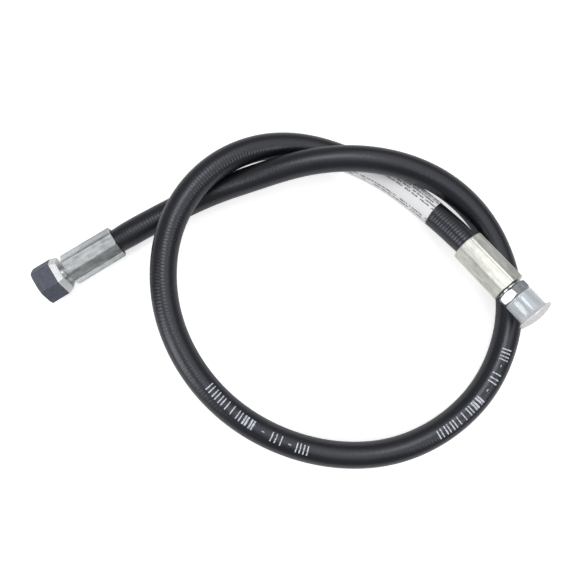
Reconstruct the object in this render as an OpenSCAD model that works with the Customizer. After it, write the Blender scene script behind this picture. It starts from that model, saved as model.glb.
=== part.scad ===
// Hydraulic hose assembly, lying on a table in one loose loop.
// A rubber hose with one wire braid runs between two crimped fittings.
// The left end has a swivel nut over a 24 degree cone nose with an O-ring.
// The right end has a male thread with a spanner hexagon and a slip-on plastic cap.
// Millimetres, +Z up, the table is Z = 0.

/* [Hose] */
// inside diameter of the smooth tube that carries the oil
hose_bore = 9.6; // [9.2:0.1:10.0]
// wall of the inner rubber tube
tube_wall = 1.8; // [1.6:0.1:1.9]
// thickness of the layer of braided steel wire
braid_wall = 0.7; // [0.6:0.05:0.8]
// wall of the rubber cover over the braid
cover_wall = 1.4; // [1.2:0.1:1.5]
// how much smaller in radius the cover is where it goes into a ferrule
end_neck = 0.4; // [0.2:0.1:0.5]
// thickness of the paper label wrapped round the hose
label_thick = 0.2; // [0.1:0.05:0.3]

/* [Ferrules] */
// length of the ferrule at the nut end
left_ferrule_len = 37.5; // [36.5:0.5:38.0]
// length of the ferrule at the male end
right_ferrule_len = 38.7; // [37.0:0.1:38.9]
// size across the eight crimped flats, nut end
left_ferrule_flats = 20.5; // [20.0:0.1:21.5]
// size across the eight crimped flats, male end
right_ferrule_flats = 21.7; // [20.5:0.1:22.2]
// width of the thin ridge that each die gap leaves
ridge_w = 1.1; // [0.8:0.1:1.6]
// height of that ridge over the corner of the flats
ridge_h = 0.25; // [0.1:0.05:0.4]
// number of teeth rings inside each ferrule
tooth_count = 7; // [4:1:8]

/* [Swivel nut] */
// size across the flats of the nut
nut_flats = 24; // [23:0.5:25]
// length of the full hexagon of the nut
nut_hex_len = 13.7; // [13.0:0.1:15.0]
// length of the tapered skirt that is pressed down behind the hexagon
nut_skirt_len = 4.1; // [3.5:0.1:4.5]
// minor diameter of the thread inside the nut
nut_thread_d = 18.38; // [18.2:0.02:18.6]
// running clearance between the nut and the stem, in radius
nut_play = 0.07; // [0.05:0.01:0.1]
// diameter of the stem that carries the nut
stem_d = 14.3; // [13.8:0.1:14.6]
// thickness of the O-ring in the cone nose
o_ring_d = 1.5; // [1.2:0.1:1.6]

/* [Male end] */
// size across the flats of the spanner hexagon
male_flats = 19; // [18:0.5:20]
// outside diameter of the male thread
male_thread_d = 18; // [17.6:0.1:18.2]
// length of the male thread
male_thread_len = 10.2; // [8.0:0.2:10.4]
// inside diameter of the tube socket at the foot of the 24 degree cone
male_socket_d = 12.1; // [11.6:0.1:12.4]

/* [Cap] */
// wall of the plastic thread cap
cap_wall = 0.8; // [0.6:0.1:1.2]
// overall length of the cap
cap_len = 16.4; // [15.6:0.2:18.0]
// diameter of the rim round the closed end of the cap
cap_rim_d = 24.4; // [23:0.2:25]

/* [Hidden] */
$fn = 48;

// moves the whole assembly so that its box stands centred on the origin
centre_shift = [0.89, 0.27, 0];

// radii of the layers of the hose; the axis lies one radius above the table
tube_out = hose_bore / 2 + tube_wall;
braid_out = tube_out + braid_wall;
hose_r = braid_out + cover_wall;
lie = hose_r;

// mouth of each ferrule, and the way the hose points there
left_mouth = [-114.5, 38.5, nut_flats / 2];
left_heading = 32;
right_mouth = [121.5, 33.5, 24];
right_heading = -52.5;
right_climb = 14;
left_way = [cos(left_heading), sin(left_heading), 0];
right_way = [
    cos(right_heading) * cos(right_climb),
    sin(right_heading) * cos(right_climb),
    sin(right_climb)
];

// straight lead of the route at each mouth
lead = 18;

// hand-chosen control points of the loop, from the left mouth to the right one
loop = [
    [-54, 72, 13], [-23, 79, 22], [7, 88, 28], [40, 92, 31],
    [74, 89, 29], [106, 78, 23], [132, 58, 15], [149, 30, 9],
    [155, -4, lie], [148, -37, lie], [132, -66, lie], [106, -89, lie],
    [75, -103, lie], [42, -106, 10], [9, -100, 14], [-22, -86, 18],
    [-48, -65, 22], [-67.7, -37, 26], [-78.4, -6, 30], [-79.2, 28, 33],
    [-69, 59.4, 35], [-47.2, 85.8, 32.8], [-17.6, 102.4, 24.4], [14, 106.2, 14],
    [44, 98, 9], [75, 83, lie]
];
route = concat(
    [left_mouth - lead * left_way, left_mouth, left_mouth + lead * left_way],
    loop,
    [right_mouth - lead * right_way, right_mouth, right_mouth + lead * right_way]
);
spans = len(route) - 3;

// smooth curve through the control points (uniform cubic spline)
function span_of(t) = min(floor(t), spans - 1);
function weights(u) = [
    pow(1 - u, 3),
    3 * pow(u, 3) - 6 * u * u + 4,
    -3 * pow(u, 3) + 3 * u * u + 3 * u + 1,
    pow(u, 3)
] / 6;
function rates(u) = [
    -pow(1 - u, 2),
    3 * u * u - 4 * u,
    -3 * u * u + 2 * u + 1,
    u * u
] / 2;
function held(k) = [for (j = [0:3]) route[k + j]];
function curve_point(t) = let (k = span_of(t)) weights(t - k) * held(k);
function curve_way(t) = let (k = span_of(t), d = rates(t - k) * held(k)) d / norm(d);

// places along the curve, in spans, that carry a ring of the hose
ring_step = 0.5;
label_from = 25.9;
label_to = 27.82;
function steps(a, b) = [for (k = [ceil(a / ring_step):floor(b / ring_step)]) k * ring_step];
stations = concat(
    steps(0, label_from),
    [label_from],
    steps(label_from, label_to),
    [label_to],
    steps(label_to, spans)
);
label_first = search(label_from, stations)[0] + 1;
label_last = search(label_to, stations)[0] + 1;

// at its closed end each ferrule holds the stop collar and the wall locked on the insert
left_lock_len = 5.5;
right_lock_len = 6.7;

// the hose goes straight on inside each ferrule, up to the stop collar
left_grip = left_ferrule_len - left_lock_len;
right_grip = right_ferrule_len - right_lock_len;
neck_spans = 0.6;
sides = 12;

// ring centres and directions, with one ring more at each cut end of the hose
centres = concat(
    [left_mouth - left_grip * left_way],
    [for (t = stations) curve_point(t)],
    [right_mouth + right_grip * right_way]
);
ways = concat([left_way], [for (t = stations) curve_way(t)], [right_way]);
ring_count = len(centres);

// the cover thins towards both ferrules
function ease(x) = x * x * (3 - 2 * x);
function from_end(t) = min(1, min(t, spans - t) / neck_spans);
cover_radii = concat(
    [hose_r - end_neck],
    [for (t = stations) hose_r - end_neck * (1 - ease(from_end(t)))],
    [hose_r - end_neck]
);
function same(r) = [for (k = [0:ring_count - 1]) r];

function ring(k, r) =
    let (s = cross(ways[k], [0, 0, 1]))
    let (side = s / norm(s))
    let (up = cross(side, ways[k]))
    [for (i = [0:sides - 1])
        centres[k] + r * (cos(360 * i / sides) * side + sin(360 * i / sides) * up)];

// one layer of the hose between two lists of radii, from ring a to ring b
module layer(outer, inner, a = 0, b = ring_count - 1) {
    n = b - a + 1;
    half = n * sides;
    pts = concat(
        [for (k = [a:b]) for (p = ring(k, outer[k])) p],
        [for (k = [a:b]) for (p = ring(k, inner[k])) p]
    );
    skin = [for (k = [0:n - 2]) for (i = [0:sides - 1])
        let (j = (i + 1) % sides)
        let (p = k * sides + i, q = k * sides + j)
        let (v = p + sides, w = q + sides)
        each [[p, q, w], [p, w, v], [half + p, half + w, half + q], [half + p, half + v, half + w]]];
    ends = [for (i = [0:sides - 1])
        let (j = (i + 1) % sides)
        let (p = (n - 1) * sides + i, q = (n - 1) * sides + j)
        each [[j, i, half + i, half + j], [p, q, half + q, half + p]]];
    translate(centre_shift)
        polyhedron(points = pts, faces = concat(skin, ends), convexity = 12);
}

// barbed tail of both inserts, measured from the ferrule mouth outwards
tail_start = 2;
tail_lead = 0.9;
tail_r = hose_bore / 2 * cos(180 / sides);
barb_depth = 0.5;
barb_land = 1;
barb_count = 6;
barb_lead = 2.2;
barb_end = 0.8;
bore_r = 3.5;

// stop collar that the hose butts against, and the lip groove behind it
collar_r = tube_out + 0.6;
collar_len = 1.2;
lip_r = 6.2;

// teeth inside the ferrules
mouth_len = 2.5;
mouth_gap = 0.6;
tooth_depth = 0.4;
tooth_land = 0.8;

// swivel nut on its stem; every station follows the end of the ferrule
stem_gap = 3.4;
nut_back = left_ferrule_len + stem_gap;
nut_front = nut_back + nut_skirt_len + nut_hex_len;
skirt_flats = nut_flats - 3;
chamfer_bite = 1.15;
thread_lead = 0.9;
stem_r = stem_d / 2;
nut_hole_r = stem_r + nut_play;
nut_thread_r = nut_thread_d / 2;
nut_neck_len = 2.85;
seat_start = nut_back + nut_neck_len;
seat_end = seat_start + nut_thread_r - nut_hole_r;
seat_gap = 0.45;
shoulder_gap = 0.29;
shoulder_r = nut_thread_r - shoulder_gap;
shoulder_end = seat_end + 1.3;

// cone nose with its O-ring groove
nose_r = 7.9;
nose_start = shoulder_end + 0.3;
nose_len = 5.3;
cone_half = 12;
nose_tip = nose_start + nose_len;
groove_start = nose_start + 1.6;
groove_len = 2.0;
groove_r = nose_r - 1.35;
o_ring_squeeze = 0.1;

// male end; every station follows the end of the ferrule
male_collar_r = 7.8;
male_collar_len = 1.6;
male_hex_start = right_ferrule_len + male_collar_len;
male_hex_len = 6.6;
male_hex_end = male_hex_start + male_hex_len;
male_hex_bite = 0.9;
undercut_r = male_thread_d / 2 - 1.1;
undercut_len = 1.5;
male_thread_start = male_hex_end + undercut_len;
male_thread_end = male_thread_start + male_thread_len;
male_mouth_r = 7.15;
socket_r = male_socket_d / 2;
male_bore_r = 4;
cone_depth = (male_mouth_r - socket_r) / tan(cone_half);
socket_depth = 1.6;

// cap, pushed on until it almost meets the hexagon
cap_gap = 0.3;
cap_fit = 0.05;
cap_start = male_hex_end + cap_gap;
cap_end = cap_start + cap_len;
cap_in_r = male_thread_d / 2 + cap_fit;
cap_out_r = cap_in_r + cap_wall;
cap_floor = 1.1;
cap_dish = 0.3;
rim_thick = 1.6;
rim_r = cap_rim_d / 2;

// sides of the cone that chamfers a hexagon
bevel_sides = 12;

// how far each fitting is turned about its own axis
left_ferrule_turn = 22.5;
nut_turn = 30;
right_ferrule_turn = 36.7;
male_hex_turn = 14;

module at_left_end() {
    translate(centre_shift + left_mouth)
        rotate([0, 0, left_heading + 180])
        rotate([0, 90, 0])
        children();
}

module at_right_end() {
    translate(centre_shift + right_mouth)
        rotate([0, 0, right_heading])
        rotate([0, 90 - right_climb, 0])
        children();
}

// outline of a tail and its locking end: barbs with sharp edges towards the ferrule's
// closed end, the stop collar, and the lip groove under the ferrule's back wall
function tail_outline(inner_r, grip, ferrule_len) =
    let (pitch = (grip - tail_start - barb_lead - barb_end) / barb_count)
    concat(
        [[inner_r, tail_start], [tail_r - 0.6, tail_start], [tail_r, tail_start + tail_lead]],
        [for (i = [0:barb_count - 1])
            let (z = tail_start + barb_lead + i * pitch)
            each [[tail_r, z], [tail_r - barb_depth, z], [tail_r, z + pitch - barb_land]]],
        [
            [tail_r, grip], [collar_r, grip], [collar_r, grip + collar_len],
            [lip_r, grip + collar_len], [lip_r, ferrule_len]
        ]
    );

// twelve-sided cone that chamfers one end of a hexagon at 30 degrees, with one facet
// over each corner and one over each flat
module bevel(end_r, end_z, len, turn) {
    out = 1 / cos(180 / bevel_sides);
    rotate([0, 0, turn + 180 / bevel_sides])
        translate([0, 0, end_z - len])
        cylinder(h = len, r1 = out * (end_r + len / tan(30)), r2 = out * end_r, $fn = bevel_sides);
}

// hexagonal bar with its back end tapered down, made from three crossed slabs
module tapered_hexagon(flats, back_flats, z0, z1, z2) {
    intersection_for (a = [0, 60, 120])
        rotate([0, 0, a])
        rotate([90, 0, 0])
        translate([0, 0, -flats])
        linear_extrude(height = 2 * flats)
        polygon([
            [-back_flats / 2, z0], [back_flats / 2, z0], [flats / 2, z1],
            [flats / 2, z2], [-flats / 2, z2], [-flats / 2, z1]
        ]);
}

// eight-sided crimped sleeve: flats pressed by the dies, thin ridges between them,
// rings of teeth inside that grip the cover, and a back wall locked on the insert
module ferrule(len, flats, turn, grip) {
    corner_r = flats / 2 / cos(180 / 8);
    ridge_r = corner_r + ridge_h;
    grip_r = hose_r - end_neck;
    root_r = grip_r + tooth_depth;
    mouth_r = grip_r + mouth_gap;
    collar_end = grip + collar_len;
    pitch = (grip - 1.3 - mouth_len) / tooth_count;
    difference() {
        intersection() {
            rotate([0, 0, turn])
                linear_extrude(height = len)
                union() {
                    circle(r = corner_r, $fn = 8);
                    for (i = [0:7])
                        rotate(45 * i)
                        translate([corner_r - 1, -ridge_w / 2])
                        square([1 + ridge_h, ridge_w]);
                }
            rotate_extrude()
                polygon([
                    [0, 0], [corner_r - 0.9, 0], [corner_r - 0.2, 0.5],
                    [ridge_r + 0.1, 2.0], [ridge_r + 0.1, len - 0.8],
                    [corner_r - 0.6, len], [0, len]
                ]);
        }
        rotate_extrude()
            polygon(concat(
                [[0, -1], [mouth_r + 0.3, -1], [mouth_r, 0.6], [mouth_r, mouth_len]],
                [for (i = [0:tooth_count - 1])
                    let (z = mouth_len + i * pitch)
                    each [[grip_r, z + tooth_depth], [grip_r, z + tooth_depth + tooth_land],
                        [root_r, z + 2 * tooth_depth + tooth_land], [root_r, z + pitch]]],
                [[root_r, collar_end], [lip_r, collar_end], [lip_r, len + 1], [0, len + 1]]
            ));
    }
}

module hose_cover() {
    color([0.16, 0.16, 0.18])
        layer(cover_radii, same(braid_out));
}

module hose_wire_braid() {
    color([0.55, 0.55, 0.56])
        layer(same(braid_out), same(tube_out));
}

module hose_inner_tube() {
    color([0.08, 0.08, 0.09])
        layer(same(tube_out), same(hose_bore / 2));
}

module hose_label() {
    color([0.93, 0.93, 0.94])
        layer(cover_radii + same(label_thick), cover_radii, label_first, label_last);
}

// tail and lock, stem, bearing shoulder and cone nose
module female_insert() {
    tip_r = nose_r - nose_len * tan(cone_half);
    tip_edge = 0.3;
    groove_top = groove_start + groove_len;
    color([0.70, 0.71, 0.74])
        at_left_end()
        rotate_extrude()
        polygon(concat(
            tail_outline(bore_r, left_grip, left_ferrule_len),
            [
                [stem_r, left_ferrule_len], [stem_r, seat_start + seat_gap],
                [shoulder_r, seat_start + seat_gap + shoulder_r - stem_r],
                [shoulder_r, shoulder_end], [nose_r, nose_start],
                [nose_r - (groove_start - nose_start) * tan(cone_half), groove_start],
                [groove_r, groove_start], [groove_r, groove_top],
                [nose_r - (groove_top - nose_start) * tan(cone_half), groove_top],
                [tip_r, nose_tip - tip_edge], [tip_r - tip_edge, nose_tip],
                [bore_r + tip_edge, nose_tip], [bore_r, nose_tip - tip_edge]
            ]
        ));
}

module female_ferrule() {
    color([0.78, 0.79, 0.82])
        at_left_end()
        ferrule(left_ferrule_len, left_ferrule_flats, left_ferrule_turn, left_grip);
}

// union nut: pressed skirt, spanner hexagon with a chamfered front, bevel seat and thread bore
module swivel_nut() {
    front_r = nut_flats / 2 / cos(30) - chamfer_bite;
    color([0.66, 0.68, 0.74])
        at_left_end()
        difference() {
            intersection() {
                rotate([0, 0, nut_turn])
                    rotate([0, 0, 90])
                    tapered_hexagon(nut_flats, skirt_flats, nut_back,
                        nut_back + nut_skirt_len, nut_front);
                bevel(front_r, nut_front, nut_front - nut_back + 1, nut_turn);
            }
            rotate_extrude()
                polygon([
                    [0, nut_back - 1], [nut_hole_r, nut_back - 1], [nut_hole_r, seat_start],
                    [nut_thread_r, seat_end], [nut_thread_r, nut_front - thread_lead],
                    [nut_thread_r + thread_lead, nut_front],
                    [nut_thread_r + thread_lead, nut_front + 1],
                    [0, nut_front + 1]
                ]);
        }
}

// rubber ring seated on the floor of the nose groove
module cone_o_ring() {
    color([0.10, 0.10, 0.10])
        at_left_end()
        intersection() {
            translate([0, 0, groove_start + groove_len / 2])
                rotate_extrude()
                translate([groove_r + o_ring_d / 2 - o_ring_squeeze, 0])
                circle(d = o_ring_d, $fn = 24);
            rotate_extrude()
                translate([groove_r, groove_start])
                square([o_ring_d + 1, groove_len]);
        }
}

// tail and lock, spanner hexagon, thread body and 24 degree cone seat
module male_insert() {
    hex_r = male_flats / 2 / cos(30);
    back_r = male_flats / 2 - male_hex_bite;
    front_r = male_flats / 2 - 0.1;
    thread_r = male_thread_d / 2;
    socket_end = male_thread_end - cone_depth;
    bore_step = right_ferrule_len;
    color([0.72, 0.73, 0.72])
        at_right_end()
        difference() {
            union() {
                rotate_extrude()
                    polygon(concat(
                        tail_outline(0, right_grip, right_ferrule_len),
                        [
                            [male_collar_r, right_ferrule_len],
                            [male_collar_r, male_hex_start + 1], [undercut_r, male_hex_start + 1],
                            [undercut_r, male_thread_start - 0.4],
                            [thread_r, male_thread_start + 0.7],
                            [thread_r, male_thread_end - thread_lead],
                            [thread_r - thread_lead, male_thread_end],
                            [0, male_thread_end]
                        ]
                    ));
                intersection() {
                    rotate([0, 0, male_hex_turn])
                        translate([0, 0, male_hex_start])
                        linear_extrude(height = male_hex_len)
                        circle(r = hex_r, $fn = 6);
                    bevel(front_r, male_hex_end, male_hex_len + 1, male_hex_turn);
                    translate([0, 0, male_hex_start])
                        mirror([0, 0, 1])
                        bevel(back_r, 0, male_hex_len + 1, male_hex_turn);
                }
            }
            rotate_extrude()
                polygon([
                    [0, tail_start - 1], [bore_r, tail_start - 1], [bore_r, bore_step],
                    [male_bore_r, bore_step + 1], [male_bore_r, socket_end - socket_depth],
                    [socket_r, socket_end - socket_depth], [socket_r, socket_end],
                    [male_mouth_r, male_thread_end],
                    [male_mouth_r, male_thread_end + 1], [0, male_thread_end + 1]
                ]);
        }
}

module male_ferrule() {
    color([0.80, 0.80, 0.77])
        at_right_end()
        ferrule(right_ferrule_len, right_ferrule_flats, right_ferrule_turn, right_grip);
}

// thin plastic cup pushed over the thread, with a wide rim round the closed end
module thread_cap() {
    rim_start = cap_end - rim_thick;
    floor_top = cap_end - cap_dish;
    floor_start = floor_top - cap_floor;
    edge = 0.4;
    color([0.88, 0.90, 0.95])
        at_right_end()
        rotate_extrude()
        polygon([
            [cap_in_r + 0.25, cap_start], [cap_out_r - 0.1, cap_start],
            [cap_out_r, cap_start + edge], [cap_out_r + 0.1, rim_start - 1.3],
            [cap_out_r + 0.5, rim_start - 0.5], [cap_out_r + 1.3, rim_start],
            [rim_r - edge, rim_start], [rim_r, rim_start + edge],
            [rim_r, cap_end - edge], [rim_r - edge, cap_end],
            [cap_out_r, cap_end], [cap_out_r - cap_dish, floor_top],
            [0, floor_top], [0, floor_start],
            [cap_in_r - 0.6, floor_start], [cap_in_r, floor_start - 0.6],
            [cap_in_r, cap_start + edge]
        ]);
}

hose_cover();
hose_wire_braid();
hose_inner_tube();
hose_label();
female_insert();
female_ferrule();
swivel_nut();
cone_o_ring();
male_insert();
male_ferrule();
thread_cap();
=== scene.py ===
"""Hydraulic hose assembly: the looks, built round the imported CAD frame.

Shapes are worked out in millimetres, as in the CAD source. The scene itself is in metres.
"""
import math

import bpy
import numpy as np
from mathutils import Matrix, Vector


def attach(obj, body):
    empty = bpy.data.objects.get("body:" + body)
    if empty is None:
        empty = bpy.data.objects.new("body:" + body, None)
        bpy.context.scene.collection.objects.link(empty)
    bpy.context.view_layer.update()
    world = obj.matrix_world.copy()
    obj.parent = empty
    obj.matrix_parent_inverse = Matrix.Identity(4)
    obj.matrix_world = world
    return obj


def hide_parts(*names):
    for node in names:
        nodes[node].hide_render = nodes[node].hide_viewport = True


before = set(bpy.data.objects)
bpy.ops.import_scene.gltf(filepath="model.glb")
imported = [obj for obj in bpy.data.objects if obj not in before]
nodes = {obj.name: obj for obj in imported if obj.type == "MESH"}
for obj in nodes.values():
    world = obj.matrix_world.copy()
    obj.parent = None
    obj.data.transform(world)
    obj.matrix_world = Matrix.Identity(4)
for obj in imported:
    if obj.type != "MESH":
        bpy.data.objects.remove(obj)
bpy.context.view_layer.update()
scene = bpy.context.scene
MM = 0.001
TAU = 2 * math.pi


def add_object(name, data):
    """A new object in the scene."""
    obj = bpy.data.objects.new(name, data)
    scene.collection.objects.link(obj)
    return obj


def aim(obj, place, target):
    """Put an object at a place and point its -Z axis at a target."""
    obj.location = place
    obj.rotation_mode = "QUATERNION"
    obj.rotation_quaternion = (target - place).to_track_quat("-Z", "Y")


# ---------------------------------------------------------------- camera
CAMERA_PLACE = Vector((0.00589, -0.04619, 0.42903))
CAMERA_TARGET = Vector((0.00589, 0.00527, 0.0))

camera = add_object("camera", bpy.data.cameras.new("camera"))
aim(camera, CAMERA_PLACE, CAMERA_TARGET)
camera.data.sensor_width = 36
camera.data.lens = 38.22
camera.data.clip_start = 0.01
camera.data.clip_end = 20
scene.camera = camera


# ---------------------------------------------------------------- sizes, as in the CAD source
SHIFT = np.array([0.89, 0.27, 0.0])  # brings the assembly's box over the origin
HOSE_R = 8.7
NECK_R = 8.3  # radius of the cover where it goes into a ferrule
NECK_SPANS = 0.6  # spans of the route over which it narrows to that
COVER_BORE = 7.32  # just clear of the braid
LIE = HOSE_R  # height of the axis where the hose lies on the table
LEFT_MOUTH = np.array([-114.5, 38.5, 12.0])
RIGHT_MOUTH = np.array([121.5, 33.5, 24.0])
LEAD = 18.0  # straight lead of the route at each mouth
GRIP = 32.0  # length of hose held in each ferrule
LEFT_FERRULE_LEN = 37.5
RIGHT_FERRULE_LEN = 38.7
COLLAR_LEN = 1.2  # stop collar of an insert, which the hose butts against
LIP_R = 6.2  # groove of an insert, which the ferrule's back wall locks into
NUT_BACK, NUT_SKIRT_END, NUT_FRONT = 40.9, 45.0, 58.7
THREAD_PITCH = 1.5
TAN_30 = math.tan(math.radians(30))  # slope of the chamfers on both hexagons


class End:
    """Local frame of a fitting: z runs out of the hose, angle 0 is its underside."""

    def __init__(self, mouth, heading, climb):
        h, c = math.radians(heading), math.radians(climb)
        self.mouth = mouth + SHIFT
        self.x = np.array([math.sin(c) * math.cos(h), math.sin(c) * math.sin(h), -math.cos(c)])
        self.y = np.array([-math.sin(h), math.cos(h), 0.0])
        self.z = np.array([math.cos(h) * math.cos(c), math.sin(h) * math.cos(c), math.sin(c)])

    def place(self, local):
        """Local points in mm, brought into the scene."""
        return (self.mouth + np.outer(local[:, 0], self.x) + np.outer(local[:, 1], self.y)
                + np.outer(local[:, 2], self.z)) * MM


LEFT = End(LEFT_MOUTH, 212, 0)
RIGHT = End(RIGHT_MOUTH, -52.5, 14)


# ---------------------------------------------------------------- the hose's route
LOOP = [
    (-54, 72, 13), (-23, 79, 22), (7, 88, 28), (40, 92, 31),
    (74, 89, 29), (106, 78, 23), (132, 58, 15), (149, 30, 9),
    (155, -4, LIE), (148, -37, LIE), (132, -66, LIE), (106, -89, LIE),
    (75, -103, LIE), (42, -106, 10), (9, -100, 14), (-22, -86, 18),
    (-48, -65, 22), (-67.7, -37, 26), (-78.4, -6, 30), (-79.2, 28, 33),
    (-69, 59.4, 35), (-47.2, 85.8, 32.8), (-17.6, 102.4, 24.4), (14, 106.2, 14),
    (44, 98, 9), (75, 83, LIE),
]
CONTROLS = np.array(
    [LEFT_MOUTH + LEAD * LEFT.z, LEFT_MOUTH, LEFT_MOUTH - LEAD * LEFT.z]
    + [np.array(p, float) for p in LOOP]
    + [RIGHT_MOUTH - LEAD * RIGHT.z, RIGHT_MOUTH, RIGHT_MOUTH + LEAD * RIGHT.z]) + SHIFT
SPANS = len(CONTROLS) - 3


def spline(t):
    """Points and directions of the hose's axis at places t along the curve, in spans."""
    k = np.minimum(np.floor(t).astype(int), SPANS - 1)
    u = t - k
    weights = np.stack([
        (1 - u) ** 3,
        3 * u ** 3 - 6 * u * u + 4,
        -3 * u ** 3 + 3 * u * u + 3 * u + 1,
        u ** 3], 1) / 6
    slopes = np.stack([-(1 - u) ** 2, 3 * u * u - 4 * u, -3 * u * u + 2 * u + 1, u * u], 1) / 2
    near = CONTROLS[k[:, None] + np.arange(4)]
    point = (weights[:, :, None] * near).sum(1)
    rate = (slopes[:, :, None] * near).sum(1)
    return point, rate / np.linalg.norm(rate, axis=1)[:, None]


fine_t = np.linspace(0, SPANS, 12001)
fine_steps = np.linalg.norm(np.diff(spline(fine_t)[0], axis=0), axis=1)
fine_s = np.concatenate([[0], np.cumsum(fine_steps)])
FREE = fine_s[-1]  # length of hose between the two mouths


def ease(x):
    """0 to 1, level at both ends."""
    return x * x * (3 - 2 * x)


def axis_at(s):
    """Centre, sideways and upward directions and radius of the hose, s mm from the left mouth."""
    s = np.asarray(s, float)
    t = np.interp(s, fine_s, fine_t)
    centre, ahead = spline(t)
    # inside both ferrules the hose goes straight on
    centre = centre - np.minimum(s, 0)[:, None] * LEFT.z
    centre = centre + np.maximum(s - FREE, 0)[:, None] * RIGHT.z
    from_end = np.clip(np.minimum(t, SPANS - t) / NECK_SPANS, 0, 1)
    side = np.cross(ahead, [0, 0, 1.0])
    side /= np.linalg.norm(side, axis=1)[:, None]
    return centre, side, np.cross(side, ahead), NECK_R + (HOSE_R - NECK_R) * ease(from_end)


# ---------------------------------------------------------------- mesh builders
def add_mesh(name, verts, faces, place, sharp):
    """A mesh from points in metres. Its attribute place gives the material each point in mm.

    Edges over sharp degrees stay sharp, and none where sharp is 0.
    """
    mesh = bpy.data.meshes.new(name)
    mesh.from_pydata([tuple(v) for v in verts], [], faces)
    layer = mesh.attributes.new("place", "FLOAT_VECTOR", "POINT")
    layer.data.foreach_set("vector", np.asarray(place, np.float32).ravel())
    mesh.validate()
    mesh.shade_smooth()
    if sharp:
        mesh.set_sharp_from_angle(angle=math.radians(sharp))
    return add_object(name, mesh)


def grid_faces(rows, around, close_rows, close_around=True, flip=False):
    """Quads of a grid of points, closed in either direction on request."""
    out = []
    for k in range(rows if close_rows else rows - 1):
        a, b = k * around, ((k + 1) % rows) * around
        for i in range(around if close_around else around - 1):
            j = (i + 1) % around
            out.append((a + i, b + i, b + j, a + j) if flip else (a + i, a + j, b + j, b + i))
    return out


def turned(name, end, rows, angles, sharp):
    """A closed solid round a fitting's axis: rows of (z, r), each a number or one per angle."""
    local = []
    for z, r in rows:
        r = np.broadcast_to(np.asarray(r, float), angles.shape)
        z = np.broadcast_to(np.asarray(z, float), angles.shape)
        local.append(np.stack([r * np.cos(angles), r * np.sin(angles), z], 1))
    local = np.concatenate(local)
    faces = grid_faces(len(rows), len(angles), True, flip=True)
    return add_mesh(name, end.place(local), faces, local, sharp)


def corner_angles(count, turn, spread):
    """Angles round a prism: each corner, and those that are spread degrees beside it."""
    out = set()
    for k in range(count):
        corner = turn + 360 / count * k
        out.add(round(corner % 360, 4))
        for d in spread:
            out.add(round((corner + d) % 360, 4))
            out.add(round((corner - d) % 360, 4))
    return np.radians(sorted(out))


def prism(angles, count, apothem, turn, sharpness):
    """Radius of a prism with rounded corners; its corners are at turn + 360 k / count."""
    total = 0
    for k in range(count):
        middle = math.radians(turn + 360 / count * (k + 0.5))
        total = total + np.maximum(0, np.cos(angles - middle)) ** sharpness
    return apothem * total ** (-1.0 / sharpness)


def least(a, b, sharpness=220):
    """Smooth minimum of two radii."""
    total = np.asarray(a, float) ** -sharpness + np.asarray(b, float) ** -sharpness
    return total ** (-1.0 / sharpness)


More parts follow.
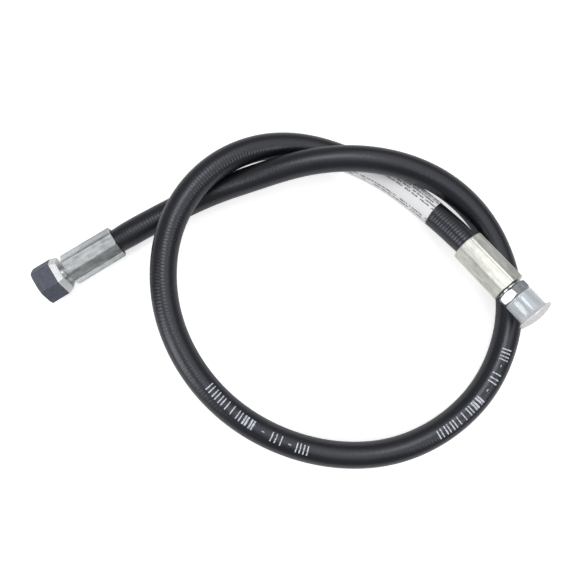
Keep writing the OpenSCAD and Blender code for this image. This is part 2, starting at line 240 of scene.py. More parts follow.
# ---------------------------------------------------------------- material helpers
class Mat:
    """A material with one Principled shader, and short calls for the nodes that feed it."""

    def __init__(self, name, **constants):
        self.mat = bpy.data.materials.new(name)
        self.mat.use_nodes = True
        self.nodes = self.mat.node_tree.nodes
        self.links = self.mat.node_tree.links
        self.nodes.clear()
        self.bsdf = self.nodes.new("ShaderNodeBsdfPrincipled")
        out = self.nodes.new("ShaderNodeOutputMaterial")
        self.links.new(self.bsdf.outputs[0], out.inputs[0])
        self.feed(**constants)

    def put(self, socket, value):
        """Link a socket to an output, or give it a number, a vector or a colour."""
        if isinstance(value, bpy.types.NodeSocket):
            self.links.new(value, socket)
        elif socket.type == "RGBA":
            socket.default_value = (*value, 1)
        else:
            socket.default_value = value

    def feed(self, **values):
        """Set or link inputs of the shader; Base_Color stands for Base Color."""
        for name, value in values.items():
            self.put(self.bsdf.inputs[name.replace("_", " ")], value)

    def add(self, kind, *values, **settings):
        """A node with these settings, its first inputs set or linked in order."""
        node = self.nodes.new(kind)
        for name, value in settings.items():
            setattr(node, name, value)
        for socket, value in zip(node.inputs, values):
            self.put(socket, value)
        return node

    def place(self):
        """Where a point is on its piece, in mm: along and across the hose, or in an End's frame."""
        return self.add("ShaderNodeAttribute", attribute_name="place").outputs["Vector"]

    def object_coords(self):
        """Where a point is on a CAD node, in m, since those have no attribute place."""
        return self.add("ShaderNodeTexCoord").outputs["Object"]

    def split(self, v):
        """The three parts of a vector."""
        return self.add("ShaderNodeSeparateXYZ", v).outputs

    def join(self, x, y, z):
        """A vector of three parts."""
        return self.add("ShaderNodeCombineXYZ", x, y, z).outputs[0]

    def stretch(self, v, x, y, z):
        """A vector with each part multiplied by its own number."""
        return self.add("ShaderNodeVectorMath", v, (x, y, z), operation="MULTIPLY").outputs[0]

    def math(self, op, a, b=0.0, c=0.0):
        """The result of one math node on numbers or outputs."""
        return self.add("ShaderNodeMath", a, b, c, operation=op).outputs[0]

    def weigh(self, a, share_a, b, share_b):
        """Two values added in the given shares."""
        return self.math("MULTIPLY_ADD", a, share_a, self.math("MULTIPLY", b, share_b))

    def between(self, v, low, high):
        """1 where v lies between low and high, 0 elsewhere."""
        return self.math("MULTIPLY", self.math("GREATER_THAN", v, low),
                         self.math("LESS_THAN", v, high))

    def noise(self, v, scale=1.0, detail=2.0, rough=0.5, distortion=0.0):
        """Soft noise about 0.5 at the point v."""
        node = self.add("ShaderNodeTexNoise")
        for name, value in (("Vector", v), ("Scale", scale), ("Detail", detail),
                            ("Roughness", rough), ("Distortion", distortion)):
            self.put(node.inputs[name], value)
        return node.outputs[0]

    def span(self, v, ends, result=(0.0, 1.0)):
        """v mapped from one pair of ends to the other, and held beyond both."""
        return self.add("ShaderNodeMapRange", v, *ends, *result).outputs["Result"]

    def blend(self, share, a, b):
        """Colour a where share is 0, b where it is 1."""
        node = self.add("ShaderNodeMix", share, data_type="RGBA")
        self.put(node.inputs[6], a)
        self.put(node.inputs[7], b)
        return node.outputs[2]

    def bump(self, height, strength, distance):
        """Relief of the whole material; distance is in metres."""
        node = self.add("ShaderNodeBump")
        for name, value in (("Height", height), ("Strength", strength), ("Distance", distance)):
            self.put(node.inputs[name], value)
        self.feed(Normal=node.outputs[0])


def dress(obj, mat, body, replaces=()):
    """Give a piece its material, its body and the CAD nodes that it stands for."""
    obj.data.materials.append(mat)
    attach(obj, body)
    if replaces:
        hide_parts(*replaces)


# ---------------------------------------------------------------- materials
def rubber_cover():
    """Black rubber cured under wrapped cloth: crosswise ribs, a faint staggered lay, fine grain."""
    rib_pitch, lay_pitch, lay_count = 2.15, 4.3, 10.0
    m = Mat("rubber_cover", Specular_IOR_Level=0.83, Specular_Tint=(0.87, 0.895, 1.0))
    place = m.place()
    s, y, z = m.split(place)
    phi = m.math("ARCTAN2", y, z)
    drift = m.noise(m.stretch(place, 0.05, 0.12, 0.12))
    turn = m.weigh(s, TAU / rib_pitch, drift, 3.0)
    ribs = m.math("SINE", m.math("ADD", turn, phi))
    # the ribs come and go, and stand out most on the upper left bend and beside the male end
    strength = m.span(m.noise(m.stretch(place, 0.06, 0.3, 0.3)), (0.36, 0.60), (0.30, 1.0))
    strength = m.math("ADD", strength, m.span(s, (FREE - 70, FREE - 50)))
    bend = m.math("MULTIPLY", m.span(s, (650, 690)), m.span(s, (800, 840), (1.0, 0.0)))
    strength = m.math("MULTIPLY_ADD", bend, 0.6, strength)
    lay = m.math("MULTIPLY",
                 m.math("COSINE", m.math("MULTIPLY", s, TAU / lay_pitch)),
                 m.math("COSINE", m.math("MULTIPLY", phi, lay_count)))
    grain = m.noise(place, 2.2, 3.0, 0.6)
    cloud = m.noise(m.stretch(place, 0.02, 0.09, 0.09), detail=3.0)
    height = m.math("MULTIPLY", ribs, strength)
    height = m.math("MULTIPLY_ADD", lay, 0.45, height)
    height = m.math("MULTIPLY_ADD", grain, 0.55, height)
    m.bump(height, 1.0, 0.000025)
    tone = m.weigh(cloud, 0.6, grain, 0.4)
    m.feed(Base_Color=m.blend(m.span(tone, (0.35, 0.65)),
                              (0.0040, 0.0042, 0.0058), (0.0078, 0.0082, 0.0112)),
           Roughness=m.span(cloud, (0.3, 0.7), (0.27, 0.36)))
    return m.mat


def label_paper():
    """White paper with plain rows of fine dashes of uneven length, and bare space beside them."""
    paper_r, row_pitch = 8.9, 2.1
    m = Mat("label_paper", Roughness=0.42, Specular_IOR_Level=0.4)
    place = m.place()
    s, y, z = m.split(place)
    across = m.math("MULTIPLY", m.math("ARCTAN2", y, z), paper_r)
    row = m.math("DIVIDE", across, row_pitch)
    index = m.math("FLOOR", row)
    in_row = m.between(m.math("FRACT", row), 0.25, 0.79)
    words = m.noise(m.join(m.math("MULTIPLY", s, 0.30), m.math("MULTIPLY", index, 7.3), 0.0),
                    detail=0.0)
    marks = m.noise(m.join(m.math("MULTIPLY", s, 1.15), m.math("MULTIPLY", index, 3.1),
                           m.math("MULTIPLY", across, 0.8)), detail=1.0)
    # seven rows across the top of the hose, and two more beyond a bare band
    zone = m.math("ADD", m.between(across, -6 * row_pitch, row_pitch),
                  m.between(across, 4 * row_pitch, 6 * row_pitch))
    ink = m.math("MULTIPLY", m.math("MULTIPLY", in_row, zone),
                 m.math("GREATER_THAN", words, 0.40))
    ink = m.math("MULTIPLY", ink, m.span(marks, (0.40, 0.50), (0.15, 0.85)))
    paper = m.blend(m.noise(place, 0.25, 3.0), (0.94, 0.94, 0.955), (0.98, 0.98, 0.99))
    m.feed(Base_Color=m.blend(ink, paper, (0.07, 0.075, 0.12)))
    m.bump(m.noise(m.stretch(place, 0.12, 0.5, 0.5)), 0.35, 0.0002)
    return m.mat


def white_ink():
    """White ink on rubber, worn through in spots."""
    m = Mat("white_ink", Roughness=0.55)
    place = m.place()
    worn = m.span(m.noise(place, 0.9, 3.0, 0.6), (0.50, 0.66), (0.0, 0.85))
    m.feed(Base_Color=m.blend(worn, (0.74, 0.79, 0.88), (0.10, 0.105, 0.125)))
    m.bump(m.noise(place, 2.2), 0.3, 0.00005)
    return m.mat


def zinc(name, pale, dull, gloss, painted_light_fade=0.0, seam=None):
    """Crimped sleeve: plated steel with soft streaks along it and a mottled lustre.

    gloss is its range of roughness. The fade amount paints a highlight and shade into it,
    paler towards the back and darker towards the mouth. seam is the angle in degrees of a
    fold coloured with painted shade, which comes again at each of the eight ridges.
    """
    m = Mat(name, Metallic=1.0)
    place = m.place()
    x, y, z = m.split(place)
    fine = m.noise(m.stretch(place, 1.1, 1.1, 0.04), detail=3.0, rough=0.55)
    broad = m.noise(m.stretch(place, 0.30, 0.30, 0.04))
    mottle = m.noise(m.stretch(place, 0.4, 0.4, 0.2), detail=3.0, distortion=0.3)
    tone = m.math("MULTIPLY_ADD", fine, 0.3, m.weigh(mottle, 0.35, broad, 0.35))
    # painted highlight and shade: paler towards the back, darker towards the mouth
    if painted_light_fade:
        tone = m.math("ADD", tone, m.span(z, (2.0, 36.0), (-painted_light_fade, painted_light_fade)))
    plate = m.blend(m.span(tone, (0.40, 0.60)), dull, pale)
    if seam is not None:
        # painted shade along the fold where two crimping jaws met; it isn't equally dark all along
        angle = m.math("MULTIPLY", m.math("ARCTAN2", y, x), 360 / TAU)
        off = m.math("ABSOLUTE", m.math("WRAP", m.math("SUBTRACT", angle, seam), -22.5, 22.5))
        along = m.join(m.math("MULTIPLY", z, 0.16), 0.0, m.math("MULTIPLY", angle, 0.02))
        broken = m.span(m.noise(along), (0.34, 0.50), (0.15, 0.8))
        painted_fold_shade = m.math("MULTIPLY", m.span(off, (0.5, 1.5), (1.0, 0.0)), broken)
        # the near-black colour in the fold is painted shade
        plate = m.blend(painted_fold_shade, plate, tuple(0.42 * c for c in dull))
    m.feed(Base_Color=plate,
           Roughness=m.span(m.weigh(mottle, 0.5, broad, 0.5), (0.35, 0.65), gloss))
    m.bump(m.weigh(broad, 1.0, fine, 0.3), 0.6, 0.00006)
    return m.mat


def nut_plating():
    """Bluish dull plating on the hexagon; the pressed skirt is glossier, with a pale painted
    highlight in its colour.
    """
    m = Mat("nut_plating", Metallic=1.0)
    place = m.place()
    _, _, z = m.split(place)
    mottle = m.noise(place, 0.5, 3.0, distortion=0.4)
    speck = m.noise(place, 3.0)
    tone = m.span(m.weigh(speck, 0.3, mottle, 0.7), (0.35, 0.65))
    plate = m.blend(tone, (0.126, 0.136, 0.167), (0.176, 0.188, 0.232))
    # the skirt's pale colour below is a painted highlight; its lower roughness is real gloss
    skirt = m.math("LESS_THAN", z, NUT_SKIRT_END + 0.25)
    dullness = m.span(speck, (0.3, 0.7), (0.52, 0.60))
    m.feed(Base_Color=m.blend(skirt, plate, (0.72, 0.74, 0.745)),
           Roughness=m.math("MULTIPLY_ADD", skirt, -0.28, dullness))
    m.bump(m.weigh(mottle, 0.8, speck, 0.05), 0.3, 0.00006)
    return m.mat


def turned_steel():
    """Male fitting: turned rings on the thread, a plain hexagon, painted shade in the groove behind
    it.
    """
    pale, dull = (0.82, 0.87, 0.92), (0.74, 0.79, 0.84)
    hexagon_end, groove_start, groove_end = 47.0, 38.3, 39.35
    m = Mat("zinc_male", Metallic=1.0)
    place = m.place()
    _, _, z = m.split(place)
    rings = m.math("MULTIPLY", m.noise(m.stretch(place, 0.05, 0.05, 4.5), detail=3.0, rough=0.6),
                   m.math("GREATER_THAN", z, hexagon_end))
    mottle = m.noise(place, 0.35)
    plate = m.blend(m.span(mottle, (0.35, 0.65)), dull, pale)
    plate = m.blend(m.math("LESS_THAN", z, hexagon_end), plate, tuple(0.62 * c for c in pale))
    # painted shade: the groove behind the hexagon is coloured near black
    groove = m.between(z, groove_start, groove_end)
    m.feed(Base_Color=m.blend(groove, plate, (0.07, 0.075, 0.075)),
           Roughness=m.span(mottle, (0.35, 0.65), (0.16, 0.28)))
    m.bump(m.weigh(rings, 0.25, mottle, 0.8), 0.3, 0.00004)
    return m.mat


def cap_film():
    """Milky soft plastic that lets the steel under it show through, and less so at the rim."""
    m = Mat("cap_film", IOR=1.7, Specular_IOR_Level=1.0,
            Coat_Weight=1.0, Coat_Roughness=0.14, Coat_IOR=1.8)
    place = m.place()
    _, _, z = m.split(place)
    cloud = m.noise(m.stretch(place, 0.3, 0.3, 0.06), detail=3.0)
    rim = m.span(z, (60.2, 62.0))
    barrel = m.blend(m.span(cloud, (0.35, 0.65)), (0.77, 0.88, 0.95), (0.93, 0.97, 1.0))
    m.feed(Base_Color=m.blend(rim, barrel, (0.98, 0.95, 0.98)),
           Roughness=m.span(cloud, (0.35, 0.65), (0.12, 0.20)),
           Alpha=m.span(m.weigh(rim, 0.5, cloud, 0.5), (0.1, 0.8), (0.40, 0.84)))
    m.bump(m.noise(m.stretch(place, 0.3, 0.3, 0.05)), 0.35, 0.00005)
    return m.mat


def insert_steel(along):
    """Turned steel for the insert at the nut end, with rings across the direction along."""
    m = Mat("turned_insert", Metallic=1.0)
    where = m.object_coords()
    depth = m.add("ShaderNodeVectorMath", where, tuple(along), operation="DOT_PRODUCT")
    rings = m.noise(m.join(depth.outputs["Value"], 0.0, 0.0), 4200.0, 3.0, 0.6)
    mottle = m.noise(where, 480.0, 3.0, 0.6)
    m.feed(Base_Color=m.blend(m.span(mottle, (0.35, 0.65)),
                              (0.45, 0.46, 0.48), (0.62, 0.63, 0.65)),
           Roughness=m.span(m.weigh(rings, 0.5, mottle, 0.5), (0.35, 0.65), (0.2, 0.36)))
    m.bump(rings, 0.3, 0.00004)
    return m.mat


def black_rubber(name):
    """Moulded black rubber for the O-ring and the inner tube."""
    m = Mat(name, Roughness=0.4)
    grain = m.noise(m.object_coords(), 900.0, 3.0, 0.6)
    m.feed(Base_Color=m.blend(grain, (0.012, 0.012, 0.013), (0.026, 0.026, 0.028)))
    m.bump(grain, 0.3, 0.00005)
    return m.mat


def braided_wire():
    """Brass-coated wires laid in two directions."""
    m = Mat("braided_wire", Metallic=1.0)
    where = m.object_coords()
    wires = m.math("MAXIMUM", m.noise(m.stretch(where, 1800, 1800, 300)),
                   m.noise(m.stretch(where, 300, 1800, 1800)))
    m.feed(Base_Color=m.blend(wires, (0.34, 0.30, 0.22), (0.62, 0.58, 0.48)),
           Roughness=m.span(wires, (0.3, 0.7), (0.5, 0.25)))
    m.bump(wires, 0.8, 0.0002)
    return m.mat


# ---------------------------------------------------------------- the hose
def rubber_hose():
    """The cover as one tube, from its end in one ferrule to its end in the other.

    Gives the piece and the points of its axis.
    """
    around, outer_rings, inner_step = 72, 1180, 8
    s = np.linspace(-GRIP, FREE + GRIP, outer_rings)
    both = np.concatenate([s, s[::-inner_step]])  # out along the outside, back along the bore
    centre, side, up, r = axis_at(both)
    r = np.where(np.arange(len(r)) < len(s), r, COVER_BORE)
    phi = np.arange(around) / around * TAU
    ring = np.cos(phi)[None, :, None] * up[:, None] + np.sin(phi)[None, :, None] * side[:, None]
    verts = (centre[:, None] + r[:, None, None] * ring).reshape(-1, 3) * MM
    place = np.stack([np.repeat(both, around), (r[:, None] * np.sin(phi)).ravel(),
                      (r[:, None] * np.cos(phi)).ravel()], 1)
    faces = grid_faces(len(both), around, True, flip=True)
    return add_mesh("rubber_hose", verts, faces, place, 40), centre[:len(s)]


def paper_label():
    """Paper wrapped once round the hose, with a lifted edge along its outer end."""
    start_span, end_span, end_trim, first_step = 25.9, 27.82, 1.3, 0.25
    seam, skew = math.radians(118), 0.54  # where the two ends meet, and mm along per radian
    outer_gap, under_gap, spiral, curl = 0.12, 0.01, 0.06, 0.05
    start, end = np.interp([start_span, end_span], fine_t, fine_s) - [0, end_trim]
    s = np.linspace(start + first_step, end - first_step, 70)
    s = np.concatenate([[start], s, [end]])
    turn = np.linspace(0, 1, 97) * TAU
    a = turn + seam
    # the strip was wrapped slightly askew, so its ends lean round the hose
    along = s[:, None] + skew * (a - TAU)[None]
    n, w = along.shape
    centre, side, up, r = (x.reshape(n, w, -1) for x in axis_at(along.ravel()))
    wave = 0.012 * np.sin(s / 3.1)[:, None] * np.sin(2 * turn)[None]
    uneven = (1 + 0.6 * np.sin(s / 5.0))[:, None]
    lifted = curl * np.exp(-((turn - TAU) / 0.12) ** 2)[None] * uneven
    way = np.cos(a)[None, :, None] * up + np.sin(a)[None, :, None] * side
    verts, place = [], []
    for gap in (outer_gap, under_gap):
        radius = r[:, :, 0] + gap + spiral * (turn / TAU)[None] + wave + lifted
        verts.append((centre + radius[:, :, None] * way).reshape(-1, 3))
        spots = np.stack([along, radius * np.sin(a), radius * np.cos(a)], 2)
        place.append(spots.reshape(-1, 3))
    under = n * w
    faces = grid_faces(n, w, False, False, flip=True)
    faces += [tuple(under + i for i in f) for f in grid_faces(n, w, False, False)]
    # the paper's four edges join its outer face to the one under it
    for k in range(n - 1):
        for i in (0, w - 1):
            q = (k * w + i, (k + 1) * w + i, under + (k + 1) * w + i, under + k * w + i)
            faces.append(q if i == 0 else q[::-1])
    for i in range(w - 1):
        for k in (0, n - 1):
            q = (k * w + i, under + k * w + i, under + k * w + i + 1, k * w + i + 1)
            faces.append(q if k == 0 else q[::-1])
    return add_mesh("paper_label", np.concatenate(verts) * MM, faces, np.concatenate(place), 30)


# the print on the hose in plain marks: start, end and kind of each, on a scale of 30 units
MARK_SCALE = 30.0
MARKS = [
    (0, 1.25, "pair"), (1.9, 3.1, "pair"), (4.4, 5.1, "dash"), (6.9, 7.15, "tick"),
    (8.3, 9.7, "pair"), (11.6, 12.3, "dash"), (14.6, 15.8, "block"), (16.4, 17.6, "block"),
    (18.3, 19.5, "pair"), (20.9, 21.15, "tick"), (22.6, 22.85, "tick"), (23.9, 25.1, "pair"),
    (25.9, 27.1, "pair"), (28.0, 29.3, "pair"),
]
# widths in mm of the first and the last bar of each kind; a dash is one low bar
MARK_BARS = {"pair": (0.8, 0.8), "block": (1.3, 1.2), "tick": (0.75, None)}
# both prints: start and length in mm along the hose, angle from the top and turn round it
PRINTS = ((366, 76, -0.06, 0.0), (529, 80, 0.0, 0.36))


def printed_bars():
    """Plain bars and dashes printed along the top of the hose, in two places."""
    bar_half, dash_half = 3.2, 0.28
    step_along, step_round = 0.8, 0.7 / HOSE_R
    top_lift, under_lift = 0.045, 0.005
    verts, faces, place = [], [], []

    def bar(s0, s1, half, middle):
        """A bar from s0 to s1 along the hose, half mm to either side of the angle middle."""
        s = np.linspace(s0, s1, max(2, int((s1 - s0) / step_along) + 2))
        spread = np.linspace(-half, half, max(3, int(half * 2 / step_round) + 2))
        ss, pp = (x.ravel() for x in np.meshgrid(s, middle + spread / HOSE_R, indexing="ij"))
        centre, side, up, r = axis_at(ss)
        way = np.cos(pp)[:, None] * up + np.sin(pp)[:, None] * side
        for lift, flip in ((top_lift, True), (under_lift, False)):
            base = len(verts)
            verts.extend((centre + (r + lift)[:, None] * way) * MM)
            place.extend(np.stack([ss, HOSE_R * np.sin(pp), HOSE_R * np.cos(pp)], 1))
            sheet = grid_faces(len(s), len(spread), False, False, flip=flip)
            faces.extend([tuple(base + i for i in f) for f in sheet])

    for start, length, tilt, turn in PRINTS:
        unit = length / MARK_SCALE
        for a, b, kind in MARKS:
            middle = tilt + turn * (a / MARK_SCALE)
            a, b = start + a * unit, start + b * unit
            if kind == "dash":
                bar(a, b, dash_half, middle)
                continue
            first, last = MARK_BARS[kind]
            bar(a, a + first, bar_half, middle)
            if last:
                bar(b - last, b, bar_half, middle)
    return add_mesh("printed_bars", verts, faces, place, 0)


hose, hose_path = rubber_hose()
label = paper_label()
marks = printed_bars()
dress(hose, rubber_cover(), "hose_assembly", ["hose_cover"])
dress(label, label_paper(), "hose_assembly", ["hose_label"])
dress(marks, white_ink(), "hose_assembly")


# ---------------------------------------------------------------- ferrules
def ferrule(name, end, length, flats, turn, crown, wobble, rise):
    """Crimped sleeve: eight pressed flats, a thin ridge between each two, rounded ends.

    crown bulges the flats, wobble waves them, and rise lifts the ridges over the corners.
    """
    tooth_count, mouth_len, tooth_root, tooth_crest = 7, 2.5, 8.7, 8.3
    ridge_half, ridge_edge, ridge_round = 2.95, 0.75, 0.05
    corner = flats / 2 / math.cos(math.pi / 8)
    angles = corner_angles(8, turn, [0, 0.9, 1.7, 2.2, 2.6, 2.9, 3.3, 4.2, 6, 9, 13, 17.5, 22.5])
    off = np.abs((np.degrees(angles) - turn + 22.5) % 45 - 22.5)  # degrees from a corner
    belly = np.cos(np.radians((22.5 - off) * 4)) ** 2  # 1 along a flat's middle, 0 at a corner
    flat = prism(angles, 8, flats / 2, turn, 220) + crown * belly
    bead = ease(np.clip((ridge_half - off) / ridge_edge, 0, 1))
    ridge = bead * (corner + rise - ridge_round * (off / 2.9) ** 2) + (1 - bead) * flat
    outline = np.maximum(flat, ridge)
    flat_number = np.floor(((np.degrees(angles) - turn) % 360) / 45).astype(int) % 8
    phase = np.random.default_rng(int(length * 10)).uniform(0, TAU, 8)

    def rounded(distance, drop, reach):
        """Greatest radius at a distance from an end, which is rounded off by drop over reach.

        Beyond that it stays 0.6 over the corners, where it cuts nothing.
        """
        return corner - drop + (drop + 0.6) * min(1.0, distance / reach) ** 0.5

    outer = []
    for z in np.unique(np.concatenate([
            [0.0, 0.08, 0.2, 0.35, 0.55, 0.8, 1.1, 1.5, 2.0, 2.6],
            np.linspace(3.5, length - 3, 18),
            [length - d for d in (2.2, 1.5, 1.0, 0.7, 0.45, 0.25, 0.1, 0)]])):
        sway = wobble * np.sin(z / 6.5 + phase[flat_number]) * belly
        r = least(outline + sway, rounded(z, 0.75, 2.0), 260)
        outer.append((z, least(r, rounded(length - z, 0.55, 1.1), 260)))
    wall = GRIP + COLLAR_LEN  # inner face of the back wall
    inner = [(length, 6.45), (length - 0.2, 6.22), (wall, LIP_R), (wall, tooth_root)]
    pitch = (GRIP - 1.3 - mouth_len) / tooth_count
    for i in reversed(range(tooth_count)):
        z = mouth_len + i * pitch
        inner += [(z + pitch, tooth_root), (z + 1.6, tooth_root),
                  (z + 1.2, tooth_crest), (z + 0.4, tooth_crest)]
    mouth_r = NECK_R + 0.6
    inner += [(mouth_len, mouth_r), (0.8, mouth_r), (0.35, mouth_r + 0.06),
              (0.12, mouth_r + 0.2), (0.02, mouth_r + 0.42)]
    face = [(0.0, np.minimum(outer[0][1] - 0.2, corner - 1.0))]
    return turned(name, end, outer + inner + face, angles, 38)


left_ferrule = ferrule("crimped_sleeve_left", LEFT, LEFT_FERRULE_LEN, flats=20.5, turn=22.5,
                       crown=0.09, wobble=0.01, rise=0.13)
right_ferrule = ferrule("crimped_sleeve_right", RIGHT, RIGHT_FERRULE_LEN, flats=21.7, turn=36.7,
                        crown=0.10, wobble=0.0, rise=-0.3)
dress(left_ferrule,
      zinc("zinc_left", (0.82, 0.86, 0.88), (0.45, 0.475, 0.485), (0.24, 0.36), painted_light_fade=0.06),
      "hose_assembly", ["female_ferrule"])
dress(right_ferrule,
      zinc("zinc_right", (0.97, 0.97, 0.925), (0.64, 0.64, 0.59), (0.38, 0.52), seam=43.0),
      "hose_assembly", ["male_ferrule"])


# ---------------------------------------------------------------- swivel nut
# degrees beside a hexagon's corners at which a mesh has its rows of points
HEX_SPREAD = [0.35, 0.8, 1.4, 2.2, 3.4, 5, 8, 12, 16, 21, 26, 30]


def hexagon(turn):
    """Angles round a hexagon whose first corner is at turn, and its radius per mm of apothem."""
    angles = corner_angles(6, turn, HEX_SPREAD)
    return angles, prism(angles, 6, 1.0, turn, 130)


def thread_wave(z, angles):
    """Height of a right-hand 60 degree thread, 0 at the roots and 1 at the crests."""
    x = (z / THREAD_PITCH + angles / TAU) % 1.0
    return np.clip((1 - np.abs(2 * x - 1) - 0.10) / 0.78, 0, 1)


def union_nut():
    """The nut: pressed skirt, hexagon, chamfered front, thread and bevel seat inside."""
    half, skirt_half, front_r, hole_r = 12.0, 10.5, 12.7, 7.22
    root_r, crest_r, thread_inner_end = 10.0, 9.19, 45.9
    seat_start, seat_end = 43.75, 45.72
    angles, unit = hexagon(30)
    rows = []
    for z in ([NUT_BACK + d for d in (0, 0.06, 0.18, 0.4, 1.2, 2.2, 3.2)]
              + [NUT_SKIRT_END + d for d in (-0.35, -0.15, -0.05, 0.05, 0.15, 0.35, 0.9)]
              + [48, 51, 54, 56, 56.6]):
        taper = np.clip((z - NUT_BACK) / (NUT_SKIRT_END - NUT_BACK), 0, 1)
        rounding = 0.16 * max(0.0, 1 - (z - NUT_BACK) / 0.4) ** 2
        rows.append((z, unit * (skirt_half + (half - skirt_half) * taper - rounding)))
    for z in np.arange(56.9, NUT_FRONT + 0.001, 0.1):
        rows.append((z, least(unit * half, front_r + (NUT_FRONT - z) / TAN_30)))
    rows += [(NUT_FRONT, 12.0), (NUT_FRONT, 10.25), (NUT_FRONT - 0.08, 10.15),
             (NUT_FRONT - 0.85, 9.5)]
    for z in np.arange(NUT_FRONT - 0.95, thread_inner_end + 0.05, -0.16):
        runout = 1 - min(1.0, (z - thread_inner_end) / 1.2)
        wave = np.maximum(thread_wave(z, angles), runout)
        rows.append((z, root_r - (root_r - crest_r) * wave))
    rows += [(seat_end, crest_r), (seat_start, hole_r), (NUT_BACK + 0.25, hole_r),
             (NUT_BACK, 7.45), (NUT_BACK, 9.8)]
    return turned("union_nut", LEFT, rows, angles, 32)


nut = union_nut()
dress(nut, nut_plating(), "nut", ["swivel_nut"])


# ---------------------------------------------------------------- male end
def male_fitting():
    """The male insert: barbed tail, stop collar, hexagon, thread and cone mouth."""
    tail_start, tail_r, bore_r = 2.0, 4.63, 3.5
    barb_count, barb_lead, barb_end, barb_depth, barb_land = 6, 2.2, 0.8, 0.5, 1
    back, stop_r, stem_r = RIGHT_FERRULE_LEN, 7.2, 7.8
    hex_start, hex_end, hex_half, back_r, front_r = 40.3, 46.9, 9.5, 8.6, 9.4
    undercut_r, thread_start, thread_lead, nose = 7.9, 48.1, 0.9, 58.6
    root_r, thread_depth = 8.06, 0.94
    cone_depth, socket_r, socket_depth, duct_r = 5.18, 6.05, 1.6, 4.0
    angles, unit = hexagon(14)
    rows = [(tail_start, bore_r), (tail_start, tail_r - 0.6), (2.9, tail_r)]
    pitch = (GRIP - tail_start - barb_lead - barb_end) / barb_count
    for i in range(barb_count):
        z = tail_start + barb_lead + i * pitch
        rows += [(z, tail_r), (z, tail_r - barb_depth), (z + pitch - barb_land, tail_r)]
    stop_end = GRIP + COLLAR_LEN
    rows += [(GRIP, tail_r), (GRIP, stop_r), (stop_end, stop_r), (stop_end, LIP_R),
             (back, LIP_R), (back, 7.6), (back + 0.15, stem_r), (hex_start, stem_r)]
    for z in (list(np.arange(hex_start, hex_start + 1.3, 0.09)) + [42, 44, 45.6]
              + list(np.arange(45.9, hex_end + 0.001, 0.09))):
        r = least(unit * hex_half, back_r + (z - hex_start) / TAN_30)
        rows.append((z, least(r, front_r + (hex_end - z) / TAN_30)))
    rows += [(hex_end, 8.2), (hex_end + 0.3, undercut_r), (48.2, undercut_r)]
    for z in np.arange(48.35, 58.0, 0.15):
        fade_in = min(1.0, max(0.0, (z - thread_start) / thread_lead))
        fade_out = min(1.0, max(0.0, (nose - z) / thread_lead))
        rows.append((z, root_r + thread_depth * thread_wave(z, angles) * fade_in * fade_out))
    cone_end = nose - cone_depth
    socket_end = cone_end - socket_depth
    rows += [(58.2, 8.3), (nose, 8.1), (nose, 7.35), (58.5, 7.18), (cone_end, socket_r),
             (socket_end, socket_r), (socket_end, 4.2), (socket_end - 0.2, duct_r),
             (back + 1.0, duct_r), (back, bore_r)]
    return turned("male_fitting", RIGHT, rows, angles, 32)


def thread_cap():
    """Soft plastic cup over the male thread, with a wide rim round its closed end."""
    start, rim0, end, bore = 47.2, 61.5, 63.6, 9.05
    angles = np.arange(96) / 96 * TAU
    outer = [(start, 9.4), (start + 0.02, 9.62), (start + 0.15, 9.78), (start + 0.4, 9.85),
             (start + 3, 9.87), (start + 7, 9.9), (rim0 - 1.6, 9.93), (rim0 - 1.0, 10.03),
             (rim0 - 0.6, 10.2), (rim0 - 0.3, 10.5), (rim0 - 0.08, 10.95), (rim0 + 0.06, 11.4)]
    rim = [(rim0 + 0.2, 11.8), (rim0 + 0.4, 12.05), (rim0 + 0.7, 12.18), (rim0 + 1.0, 12.2),
           (end - 0.7, 12.14), (end - 0.4, 12.02), (end - 0.15, 11.8), (end + 0.02, 11.5)]
    top = [(end + 0.17, 11.1), (end + 0.65, 9.6), (end + 1.3, 7.0), (end + 1.85, 4.0),
           (end + 2.1, 0.02)]
    inner = [(end - 1.4, 0.02), (end - 1.4, 6.0), (end - 1.4, 8.45), (end - 1.55, 8.85),
             (end - 1.9, bore), (57, bore), (52, bore), (start + 0.5, bore), (start + 0.1, 9.2)]
    # the soft rim isn't quite level, and the more so towards its edge
    droop = 0.10 * np.sin(angles * 2 + 0.7) + 0.05 * np.sin(angles * 3 + 2.1)
    rows = [(z + droop * np.clip((r - 10.2) / 2.0, 0, 1) * 0.6, r)
            for z, r in outer + rim + top + inner]
    return turned("thread_cap_cup", RIGHT, rows, angles, 40)


male = male_fitting()
dress(male, turned_steel(), "hose_assembly", ["male_insert"])
cap = thread_cap()
dress(cap, cap_film(), "cap", ["thread_cap"])


# ---------------------------------------------------------------- carried-over CAD nodes
for node, mat in (("female_insert", insert_steel(LEFT.z)),
                  ("cone_o_ring", black_rubber("o_ring_rubber")),
                  ("hose_inner_tube", black_rubber("tube_rubber_mat")),
                  ("hose_wire_braid", braided_wire())):
    materials = nodes[node].data.materials
    materials.clear()
    materials.append(mat)

exit_depth = 6.0  # how far inside the left ferrule's mouth the axis point below lies
exit_point = axis_at([-exit_depth])[0][0] * MM


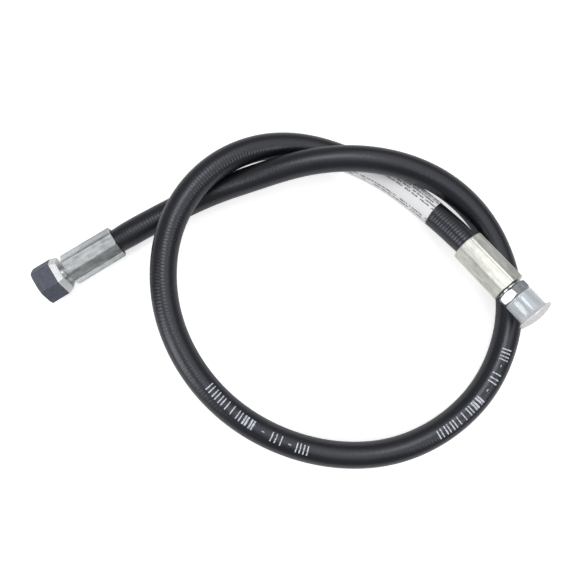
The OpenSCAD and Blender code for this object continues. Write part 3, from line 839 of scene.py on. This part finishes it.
# ---------------------------------------------------------------- floor and light
def floor():
    """A white table that keeps its shadows.

    It glows to the camera and through the cap, and faintly in glossy pieces, and lights nothing.
    """
    half, glow, glossy_glow, drop = 3.0, 0.62, 0.10, 0.0002
    mesh = bpy.data.meshes.new("floor")
    mesh.from_pydata([(-half, -half, 0), (half, -half, 0), (half, half, 0), (-half, half, 0)],
                     [], [(0, 1, 2, 3)])
    obj = add_object("floor", mesh)
    m = Mat("floor_white", Base_Color=(0.80, 0.80, 0.80), Roughness=0.9, Specular_IOR_Level=0.1,
            Emission_Color=(1, 1, 1))
    ray = m.add("ShaderNodeLightPath").outputs
    seen = m.math("MAXIMUM", ray["Is Camera Ray"], ray["Is Transmission Ray"])
    m.feed(Emission_Strength=m.weigh(ray["Is Glossy Ray"], glossy_glow, seen, glow))
    mesh.materials.append(m.mat)
    obj.location.z = -drop


def softbox(name, azimuth, elevation, size, radiance, distance=1.1):
    """A panel, its size in metres, that faces the origin from a direction in degrees."""
    a, e = math.radians(azimuth), math.radians(elevation)
    way = Vector((math.cos(a) * math.cos(e), math.sin(a) * math.cos(e), math.sin(e)))
    light = bpy.data.lights.new(name, "AREA")
    light.shape = "RECTANGLE"
    light.size, light.size_y = size
    light.energy = radiance * size[0] * size[1] * math.pi
    aim(add_object(name, light), way * distance, Vector((0, 0, 0)))


def studio_world():
    """Plain grey surroundings, a little lighter towards +Y than towards -Y."""
    world = bpy.data.worlds.new("studio")
    world.use_nodes = True
    tree = world.node_tree
    tree.nodes.clear()
    out = tree.nodes.new("ShaderNodeOutputWorld")
    background = tree.nodes.new("ShaderNodeBackground")
    coords = tree.nodes.new("ShaderNodeTexCoord")
    parts = tree.nodes.new("ShaderNodeSeparateXYZ")
    grade = tree.nodes.new("ShaderNodeMapRange")
    for name, value in (("From Min", -0.9), ("From Max", 0.3), ("To Min", 0.24), ("To Max", 0.33)):
        grade.inputs[name].default_value = value
    background.inputs["Color"].default_value = (1, 1, 1, 1)
    tree.links.new(coords.outputs["Generated"], parts.inputs[0])
    tree.links.new(parts.outputs["Y"], grade.inputs["Value"])
    tree.links.new(grade.outputs["Result"], background.inputs["Strength"])
    tree.links.new(background.outputs[0], out.inputs[0])
    scene.world = world


floor()
softbox("overhead_wide", 34, 72, (1.35, 1.4), 0.72)
softbox("overhead_key", 85, 80, (0.36, 0.36), 3.1, 1.0)
softbox("left_panel", 212, 37, (0.46, 0.90), 2.9)
softbox("front_panel", 325, 42, (0.35, 0.45), 2.2)
studio_world()

scene.view_settings.view_transform = "Standard"
